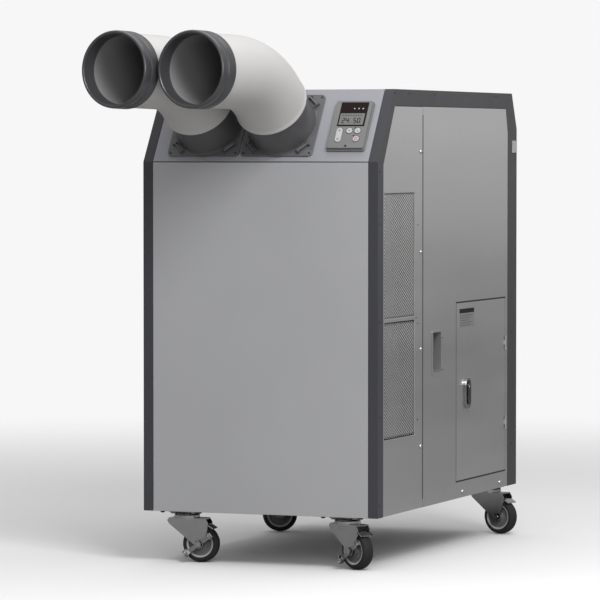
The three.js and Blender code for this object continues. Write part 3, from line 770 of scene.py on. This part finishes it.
# ---- perforated screens ----
def make_screen(node):
    """Round holes on a close staggered grid, 5.5 mm across at 7 mm, filling the CAD screen's outline."""
    low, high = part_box(node)
    pitch, radius, thick = 7.0, 2.75, 0.6
    across = pitch * math.cos(math.radians(30))
    right = node.startswith("screen_right")
    outer = (high.x - low.x) / MM - thick if right else 0
    corner = pitch / math.sqrt(3)
    builder = bmesh.new()
    sides = 12
    layers = []
    for x in (0, thick):
        rim, edge = [], []
        for i in range(sides):
            a = 2 * math.pi * i / sides
            reach = corner if i % 2 == 0 else pitch / 2
            rim.append(builder.verts.new((x, reach * math.cos(a), reach * math.sin(a))))
            edge.append(builder.verts.new((x, radius * math.cos(a), radius * math.sin(a))))
        layers.append((rim, edge))
    for (rim, edge), back in zip(layers, (True, False)):
        for i in range(sides):
            j = (i + 1) % sides
            loop = (rim[i], rim[j], edge[j], edge[i])
            builder.faces.new(tuple(reversed(loop)) if back else loop)
    (_, back_edge), (_, front_edge) = layers
    for i in range(sides):
        j = (i + 1) % sides
        builder.faces.new((back_edge[i], front_edge[i], front_edge[j], back_edge[j]))
    columns = int((high.y - low.y) / MM / across) - 1
    rows = int((high.z - low.z) / MM / pitch) - 1
    slack_y = ((high.y - low.y) / MM - (columns - 1) * across) / 2
    slack_z = ((high.z - low.z) / MM - (rows - 0.5) * pitch) / 2
    piece = piece_from(node + "_mesh", builder, SCREEN, Matrix.Scale(MM, 4), recalc=False)
    LATTICE.run(piece, Columns=columns, Rows=rows, Across=across * MM, Pitch=pitch * MM, Finish=SCREEN)
    piece.data.transform(Matrix.Translation(low + Vector((outer, slack_y, slack_z)) * MM))
    finish_mesh(piece, SCREEN, 30)
    inward = -4 if right else 4
    size = (high - low) / MM
    middle = Matrix.Translation((low + high) / 2) @ Matrix.Scale(MM, 4)
    media = block(node + "_media", (1.5, size.y, size.z), (inward, 0, 0), middle, FILTER, 0.3)
    add(media, "cabinet")
    return add(piece, "cabinet", node)


# ---- ducts ----
ELBOW = {"lead": 22.0, "bend": 285.0, "tail": 130.0, "radius": 72.0, "wall": 2.6}
DUCT_TURN = {"left": -17.7, "right": -16.2}  # degrees


def duct_centre(s):
    """The duct's centre line s mm from its lower rim: (point, direction angle)."""
    lead, bend = ELBOW["lead"], ELBOW["bend"]
    lean = math.asin(OUT.z)
    angle = min(max(s - lead, 0) / bend, lean)
    tail = max(s - lead - bend * lean, 0)
    y = -bend * (1 - math.cos(angle)) - tail * math.sin(angle)
    z = min(s, lead) + bend * math.sin(angle) + tail * math.cos(angle)
    return Vector((0, y, z)), angle


def make_duct(side):
    body = "duct_" + side
    pivot = Vector(joints[body + "_turn"]["pos_m"])
    basis = slope_matrix().to_3x3().to_4x4()
    seat = Matrix.Translation(pivot) @ basis  # on the collar's axis, at the elbow's lower rim
    turned = seat @ Matrix.Rotation(math.radians(DUCT_TURN[side]), 4, "Z")

    lean = math.asin(OUT.z)
    length = ELBOW["lead"] + ELBOW["bend"] * lean + ELBOW["tail"]
    radius, wall = ELBOW["radius"], ELBOW["wall"]
    steps, around = 40, 72
    stations = [(0.0, -wall), (0.0, 0.6), (1.2, 1.2), (4.0, 1.2), (6.0, 0.3)]
    stations += [(6.0 + (length - 6.0) * i / steps, 0.0) for i in range(1, steps + 1)]
    stations += [(length * (1 - i / steps), -wall) for i in range(steps + 1)]
    builder = bmesh.new()
    rings = []
    for s, grow in stations[:-1]:
        centre, angle = duct_centre(s)
        tilt = Matrix.Rotation(angle, 3, "X")
        ring = []
        for k in range(around):
            a = 2 * math.pi * k / around
            offset = Vector((math.cos(a), math.sin(a), 0)) * (radius + grow)
            ring.append(builder.verts.new(centre + tilt @ offset))
        rings.append(ring)
    for ring, after in zip(rings, rings[1:] + rings[:1]):
        for k in range(around):
            m = (k + 1) % around
            builder.faces.new((ring[k], ring[m], after[m], after[k]))
    elbow = piece_from("elbow_" + side, builder, DUCT, turned, 30)
    # The inner wall gets the darker copy of the duct plastic: painted shade inside the duct.
    elbow.data.materials.append(BORE_SHADE)
    for polygon in elbow.data.polygons:
        if polygon.index // around >= len(rings) - steps - 2:
            polygon.material_index = 1
    add(elbow, body, "duct_elbow_" + side)

    centre, angle = duct_centre(length)
    mouth = turned @ Matrix.Translation(centre) @ Matrix.Rotation(angle, 4, "X")
    profile = [
        (72.4, -24), (74.2, -24), (75.0, -23), (75.0, -1), (74.6, 0), (73.9, 0.4), (73.9, 2.0),
        (74.6, 2.6), (74.9, 4.0), (74.9, 14), (74.5, 18), (73.4, 20.6), (71.6, 21.8), (69.6, 21.6),
        (68.3, 20.4), (67.9, 18.4), (67.6, -8), (67.2, -9), (66.2, -9.4), (66.0, -10.4), (69.3, -10.6),
        (69.3, 0.4), (72.4, 0.4),
    ]
    ring = lathe("outlet_rim_" + side, profile, mouth, RING, 96)
    add(ring, body, "outlet_ring_" + side)
    make_collar(side, seat)


def make_collar(side, seat):
    """The square flange and its screws, its tube, and four toggle clips."""
    rise = 77.0  # the elbow's lower rim above the slope
    root = seat @ Matrix.Translation((0, 0, -rise))
    tube = [
        (66.0, 0.2), (74.5, 3.0), (71.5, 3.6), (70.0, 5.0), (69.0, 8.0), (68.5, 12), (68.5, rise - 6),
        (68.5, 96), (66.2, 96),
    ]
    piece = lathe("collar_tube_" + side, tube, root, COLLAR, 96)
    add(piece, "cabinet", "duct_collar_" + side)
    width, height = 154.0, 146.0
    plate = slab("collar_flange_" + side, outline_rounded(width, height, 10), 0.1, 3.2, root, FLANGE, 0.9)
    cut_hole(plate, 70.0, root)
    add(plate, "cabinet")
    spots = [
        (root @ Vector((x * (width / 2 - 7), y * (height / 2 - 7), 3.1)), OUT)
        for x, y in ((1, 1), (1, -1), (-1, 1), (-1, -1), (0, -0.98), (1, 0), (-1, 0))
    ]
    fasteners("flange_screws_" + side, "flat", spots, BLACK_SCREW)
    for i in range(4):
        turn = Matrix.Rotation(math.radians(45 + 90 * i), 4, "Z")
        corner = root @ turn @ Matrix.Translation((77.5, 0, 3.1))
        make_clip(f"collar_clip_{side}_{i}", corner)


def make_clip(name, place):
    """A toggle clip lying along the collar's foot: a round rod between two cross-bars on a low base."""
    builder = bmesh.new()
    turn = Matrix.Translation((0, 0, 4.5)) @ Matrix.Rotation(math.pi / 2, 4, "X")
    bmesh.ops.create_cone(
        builder, cap_ends=True, segments=16, radius1=1.9, radius2=1.9, depth=26, matrix=turn
    )
    add(piece_from(name + "_rod", builder, FLANGE, place), "cabinet")
    for end, letter in ((-1, "a"), (1, "b")):
        bar = block(f"{name}_bar_{letter}", (11, 3, 6), (0, end * 13, 3.0), place, COLLAR, 0.8)
        add(bar, "cabinet")
    add(block(name + "_base", (8, 22, 1.4), (0, 0, 0.7), place, COLLAR, 0.5), "cabinet")


def cut_hole(piece, radius, matrix):
    """Cuts a round hole through a flat piece with a boolean."""
    builder = bmesh.new()
    bmesh.ops.create_cone(builder, cap_ends=True, segments=96, radius1=radius, radius2=radius, depth=40)
    cutter = piece_from("cutter", builder, COLLAR, matrix)
    modifier = piece.modifiers.new("hole", "BOOLEAN")
    modifier.object = cutter
    modifier.operation = "DIFFERENCE"
    modifier.solver = "EXACT"
    material = piece.data.materials[0]
    apply_modifiers(piece)
    bpy.data.objects.remove(cutter)
    finish_mesh(piece, material)


# ---- control unit ----
DIGIT_BARS = {  # seven-segment bars: (x, y, across or upright)
    "a": (0, 2, True), "b": (1, 1, False), "c": (1, -1, False), "d": (0, -2, True),
    "e": (-1, -1, False), "f": (-1, 1, False), "g": (0, 0, True),
}
DIGITS = {"2": "abged", "5": "afgcd", "4": "fgbc", "0": "abcdef"}


def digit(x, y, figure, width=5.0, height=11.0):
    """The bars of one seven-segment figure as (centre x, centre y, width, height)."""
    bars = []
    for key in DIGITS[figure]:
        bx, by, flat = DIGIT_BARS[key]
        size = (width * 0.85, 1.7) if flat else (1.7, height * 0.46)
        bars.append((x + bx * width / 2, y + by * height / 4, *size))
    return bars


def bars_piece(name, bars, lift, matrix, material, thick=0.12):
    """Thin printed or displayed bars, all in one piece."""
    builder = bmesh.new()
    for x, y, width, height in bars:
        made = bmesh.ops.create_cube(builder, size=1)["verts"]
        bmesh.ops.scale(builder, vec=(width, height, thick), verts=made)
        bmesh.ops.translate(builder, vec=(x, y, lift + thick / 2), verts=made)
    return piece_from(name, builder, material, matrix)


def arc_piece(name, radius, width, start, stop, at, lift, matrix, material, steps=24, thick=0.12):
    """A flat ring segment standing a hair proud of the face."""
    builder = bmesh.new()
    loops = []
    near, far = radius - width / 2, radius + width / 2
    for i in range(steps + 1):
        a = math.radians(start + (stop - start) * i / steps)
        loop = []
        for r, z in ((near, 0), (far, 0), (far, thick), (near, thick)):
            loop.append(builder.verts.new((at[0] + r * math.cos(a), at[1] + r * math.sin(a), lift + z)))
        loops.append(loop)
    for low, high in zip(loops, loops[1:]):
        for k in range(4):
            builder.faces.new((low[k], low[(k + 1) % 4], high[(k + 1) % 4], high[k]))
    if (stop - start) % 360:
        builder.faces.new(loops[0])
        builder.faces.new(list(reversed(loops[-1])))
    else:
        bmesh.ops.remove_doubles(builder, verts=builder.verts, dist=1e-5)
    return piece_from(name, builder, material, matrix)


def make_control_unit():
    """The housing's window, figures and keys, in millimetres from the unit's lower left corner."""
    plane = slope_matrix(137.0, 24.0)
    thick = 10.0
    refine("control_housing", CONTROL, 0.9, 3, 40)
    refine("display_window", WINDOW, 0.3)
    top = thick + 0.2
    lcd = slab("lcd_pane", moved(outline_rounded(51, 27, 1.2), 41.8, 70.5), top, top + 0.15, plane, LCD, 0.05)
    add(lcd, "cabinet")
    bars = digit(25, 67, "2") + digit(33, 67, "4") + digit(49, 67, "5") + digit(57, 67, "0")
    bars += [(22 + 5.5 * i, 79.3, 3.4, 1.4) for i in range(8)]
    bars += [(39.4, 63.0, 1.1, 1.1), (62.0, 63.0, 1.6, 1.1)]
    add(bars_piece("lcd_figures", bars, top + 0.15, plane, INK), "cabinet")
    lamp = outline_circle(1.5, 16)
    for i in range(3):
        disc = moved(lamp, 43 + 9 * i, 95.2)
        add(slab(f"lamp_{i}", disc, top, top + 0.3, plane, PALE_INK, 0.1), "cabinet")
    for i, at in enumerate(((53.8, 49.9), (53.4, 31.2))):
        disc = moved(lamp, *at)
        add(slab(f"key_lamp_{i}", disc, thick, thick + 0.3, plane, INK, 0.1), "cabinet")
    dot = moved(outline_circle(2.4, 20), 41.0, 7.5)
    add(slab("receiver_eye", dot, thick - 0.4, thick + 0.4, plane, INK, 0.2), "cabinet")

    face = thick + 1.2
    refine("rocker_key", KEY, 0.5, 3, 40)
    arrows = [
        (22.0, y + way * (1.6 - step * 0.8), 0.8 + step * 1.5, 0.8)
        for y, way in ((43.0, 1), (23.0, -1)) for step in range(4)
    ]
    add(bars_piece("rocker_arrows", arrows, face, plane, GREY_INK), "rocker_key")
    for key, at in (("mode_key", (42.6, 42.9)), ("timer_key", (59.6, 42.9)), ("power_key", (59.6, 24.0))):
        refine(key, KEY, 0.5, 3, 40)
        well = arc_piece(key + "_surround", 7.5, 0.9, 0, 360, at, thick, plane, GREY_INK, 40)
        add(well, "cabinet")
    mode = [(42.6, 43.9, 5.4, 0.9), (42.6, 41.9, 3.6, 0.9)]
    add(bars_piece("mode_sign", mode, face, plane, GREY_INK), "mode_key")
    timer = [(59.6, 42.9, 0.9, 4.4), (60.9, 41.2, 2.6, 0.9)]
    add(bars_piece("timer_sign", timer, face, plane, GREY_INK), "timer_key")
    add(arc_piece("power_ring", 3.1, 1.1, 125, 415, (59.6, 23.6), face, plane, RED_INK), "power_key")
    add(bars_piece("power_bar", [(59.6, 26.2, 1.1, 4.0)], face, plane, RED_INK), "power_key")


# ---- door, latch and label ----
def make_door_fittings():
    plane = side_matrix(1)
    face = -0.5  # the door lies this far below the side frame
    film = moved(outline_rounded(94, 39, 1.5), 539, 373.5)
    add(slab("door_label", film, face + 0.02, face + 0.2, plane, LABEL, 0.06), "access_door")
    add(bars_piece("label_header", [(539, 388, 94, 9)], face + 0.2, plane, INK), "access_door")
    lines = [(535 - 6 * (i % 3), 378.5 - i * 5.0, 80 - 12 * (i % 3), 1.3) for i in range(5)]
    add(bars_piece("label_lines", lines, face + 0.2, plane, GREY_INK), "access_door")

    refine("latch_case", CHROME, 0.9, 3, 40)
    refine("latch_lever", DARK_CHROME, 1.0, 3, 40)
    at, proud = (537, 229), 7.5
    lock = slab("latch_keyway", moved(outline_circle(3.6, 24), *at), 6.9, proud, plane, CHROME, 0.3)
    add(lock, "latch_lever")
    # A black bar on the lock face: painted shade of the keyhole slot.
    add(bars_piece("latch_slot", [(*at, 1.0, 4.2)], proud, plane, INK), "latch_lever")


# ---- screws, rivets and rear tabs ----
def cabinet_spot(x, y, z):
    """Millimetres from the middle of the cabinet's lower front edge, in the row frame."""
    return Vector((CENTRE_X + x * MM, FRONT + y * MM, BASE + z * MM))


def make_fasteners():
    for side, name in ((1, "right"), (-1, "left")):
        def spot(y, z, out=-0.5):
            return (side_matrix(side, y, z, out).translation, Vector((side, 0, 0)))

        seam = [spot(252, z) for z in (125, 321, 517, 719)]
        lower = [spot(y, 12) for y in (513, 758)]
        fasteners("seam_screws_" + name, "dome", seam + lower, SCREW_STEEL)
        small = [spot(234, z) for z in (180, 374, 572)] + [spot(385, z) for z in (273, 338)]
        small += [spot(224, 386)]
        fasteners("panel_rivets_" + name, "rivet", small, BLACK_SCREW)
        band = [spot(y, 835, 0) for y in (98, 174, 192, 333, 537, 716, 734)]
        post = [spot(9, z, 0) for z in (24, 198, 386, 577, 594, 680)]
        post += [spot(838, z, 0) for z in (90, 330, 580)]
        fasteners("frame_screws_" + name, "small", band + post, BLACK_SCREW)
        corner = side_matrix(side, 852.5, 729, 0.5)
        add(block("rear_tab_" + name, (31, 26, 1.2), (0, 0, 0), corner, SATIN, 0.4), "cabinet")
    under = [(cabinet_spot(x, 8, 0.3), Vector((0, 0, -1))) for x in (-212, -132, 132, 212)]
    fasteners("front_panel_screws", "bolt", under, BLACK_SCREW)
    back = [(cabinet_spot(x, 869.5, z), Vector((0, 1, 0))) for x in (-215, 0, 215) for z in (20, 380, 745)]
    fasteners("rear_screws", "flat", back, SCREW_STEEL)
    lid_height = (TOP - BASE) / MM - 0.3
    lid = [(cabinet_spot(x, y, lid_height), Vector((0, 0, 1))) for x in (-215, 215) for y in (130, 460, 800)]
    fasteners("top_screws", "flat", lid, SCREW_STEEL)


# ---- casters ----
def make_caster(place):
    swivel = joints[f"caster_{place}_swivel"]
    roll = joints[f"wheel_{place}_roll"]
    stem, axle = Vector(swivel["pos_m"]), Vector(roll["pos_m"])
    along = Vector(roll["axis"]).normalized()
    facing = along.to_track_quat("Z", "X").to_matrix().to_4x4()
    wheel = Matrix.Translation(axle) @ facing @ Matrix.Scale(MM, 4)
    wheel_body = "wheel_" + place

    refine("caster_plate_" + place, ZINC, 0.6, 2, 40)
    refine("caster_fork_" + place, FORK_STEEL, 0.8, 3, 40)
    tyre = [
        (26.2, -12.3), (28.6, -12.4), (29.0, -11.8), (29.5, -12.4), (31.4, -12.3), (31.9, -11.6),
        (32.4, -12.0), (34.8, -10.6), (36.4, -8.2), (37.0, -6.0), (36.6, -5.5), (37.2, -5.0), (37.5, -1.6),
    ]
    tyre += [(r, -h) for r, h in reversed(tyre)]
    piece = lathe("tyre_" + place, tyre, wheel, TYRE, 72, angle=50)
    add(piece, wheel_body, "caster_tyre_" + place)
    face = [
        (4.4, 13.4), (8.6, 13.4), (9.4, 12.6), (9.6, 8.0), (11.0, 6.8), (15.0, 6.4), (15.8, 7.4), (17.4, 7.4),
        (18.2, 6.2), (22.4, 6.6), (23.6, 10.4), (24.6, 11.2), (26.1, 11.0),
    ]
    profile = face + [(r, -h) for r, h in reversed(face)]
    hub = lathe("hub_" + place, profile, wheel, HUB, 64, angle=40)
    add(hub, wheel_body, "caster_hub_" + place)
    for way in (1, -1):
        rim = ((23.9, 10.9), (25.3, 11.8), (26.6, 12.7), (27.6, 12.6), (27.4, 12.0))
        rim = [(r, way * h) for r, h in rim]
        name = f"wheel_rim_{place}_{'in' if way < 0 else 'out'}"
        add(lathe(name, rim, wheel, HUB_RIM, 64), wheel_body)
    cover = [(4.6, 13.5), (7.9, 13.5), (8.3, 13.9), (7.6, 14.4), (5.0, 14.4), (4.6, 14.0)]
    for way in (1, -1):
        tilt = wheel @ Matrix.Rotation(0 if way > 0 else math.pi, 4, "X")
        cap = lathe(f"bearing_cover_{place}_{'in' if way < 0 else 'out'}", cover, tilt, ZINC, 40)
        add(cap, wheel_body)

    floor = Matrix.Translation((stem.x, stem.y, 0)) @ Matrix.Scale(MM, 4)
    race = [(23.2, 95.3), (25.0, 95.6), (26.2, 97.2), (25.4, 99.4), (23.4, 101.2), (23.2, 101.2)]
    add(lathe("ball_race_" + place, race, floor, ZINC, 56), "cabinet")
    reach, under = 22.5 * MM, 101.7 * MM  # the bolts' distance from the stem, and the plate's underside
    bolts = [
        (Vector((stem.x + sx * reach, stem.y + sy * reach, under)), Vector((0, 0, -1)))
        for sx in (-1, 1) for sy in (-1, 1)
    ]
    fasteners("plate_bolts_" + place, "bolt", bolts, ZINC)
    if "brake_" + place + "_press" in joints:
        refine("brake_pedal_" + place, ZINC, 0.7, 3, 40)
        make_pad_ribs(place, axle, along)


def make_pad_ribs(place, axle, along):
    """Grip ribs across the two pads of a brake lever."""
    forward = along.cross(Vector((0, 0, 1)))
    basis = Matrix((forward, along, Vector((0, 0, 1)))).transposed().to_4x4()
    tilt = Matrix.Rotation(math.radians(-36), 4, "Y")
    lever = Matrix.Translation(axle) @ basis @ tilt @ Matrix.Scale(MM, 4)
    for end, start, out in (("lower", -35, -28.4), ("upper", 26.4, -26.4)):
        rib = block(f"pad_ribs_{end}_{place}", (0.9, 0.8, 11), (0, 0, 0), Matrix.Scale(MM, 4), ZINC, 0.3)
        ROW.run(rib, Count=4, Step=(2.2 * MM, 0, 0), Finish=ZINC)
        rib.data.transform(lever @ Matrix.Translation((start, out, 0)) @ Matrix.Scale(1 / MM, 4))
        finish_mesh(rib, ZINC, 40)
        add(rib, "brake_" + place)


# ---- heat exchangers behind the screens ----
def make_coil(node):
    """Thin aluminium fins with straight copper tubes running through them."""
    low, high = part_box(node)
    size = high - low
    margin, pitch = 8 * MM, 2.4 * MM
    builder = bmesh.new()
    bmesh.ops.create_cube(builder, size=1)
    bmesh.ops.scale(builder, vec=(0.3 * MM, size.y, size.z), verts=builder.verts)
    first = Vector((low.x + margin, (low.y + high.y) / 2, (low.z + high.z) / 2))
    fins = piece_from(node + "_fins", builder, FIN)
    count = int((size.x - 2 * margin) / pitch)
    ROW.run(fins, Count=count, Step=(pitch, 0, 0), Finish=FIN)
    fins.data.transform(Matrix.Translation(first))
    finish_mesh(fins, FIN)
    add(fins, "cabinet", node)
    builder = bmesh.new()
    rows = int(size.z / 0.05)
    for i in range(rows):
        z = low.z + (i + 0.5) * size.z / rows
        turn = Matrix.Rotation(math.pi / 2, 4, "Y")
        turn = Matrix.Translation((first.x + size.x / 2 - margin, first.y, z)) @ turn
        bmesh.ops.create_cone(
            builder, cap_ends=True, segments=12, radius1=0.005, radius2=0.005, depth=size.x, matrix=turn
        )
    tubes = piece_from(node + "_tubes", builder, COPPER)
    add(tubes, "cabinet")


make_sheet_metal()
for screen in ("left_lower", "left_upper", "right_lower", "right_upper"):
    make_screen("screen_" + screen)
make_duct("left")
make_duct("right")
make_control_unit()
make_door_fittings()
make_fasteners()
for corner in ("front_left", "front_right", "rear_left", "rear_right"):
    make_caster(corner)
make_coil("evaporator_coil")
make_coil("condenser_coil")

for head in HEADS.values():
    bpy.data.objects.remove(head)
